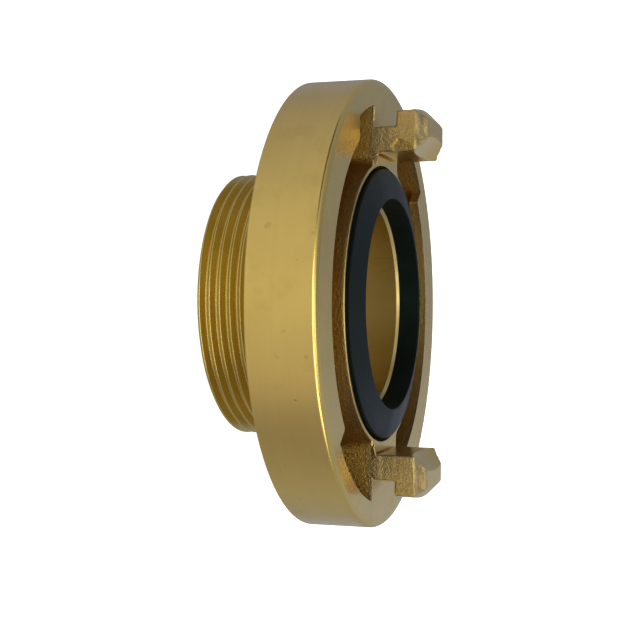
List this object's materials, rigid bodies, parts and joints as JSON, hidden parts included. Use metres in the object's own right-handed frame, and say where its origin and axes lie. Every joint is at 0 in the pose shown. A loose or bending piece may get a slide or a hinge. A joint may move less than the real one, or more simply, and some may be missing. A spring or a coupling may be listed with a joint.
{
  "type": "symmetrical quarter-turn hose coupling half",
  "caption": "Half of a symmetrical two-lug quarter-turn hose coupling in brass, with a rubber sealing ring and a spigot with a male pipe thread.",
  "frame": {"origin": "centre of the spigot's end face, on which the part stands", "axes": "+Z along the waterway from the spigot to the lugs, +Y and -Y through the lugs"},
  "size_m": [0.0998, 0.0998, 0.045],
  "materials": {
    "brass": "turned on the rim, faces, bore and thread, sand-cast elsewhere",
    "rubber": "smooth, matte"
  },
  "bodies": {
    "root": {"coupling_body": "brass", "sealing_ring": "rubber"}
  },
  "joints": []
}
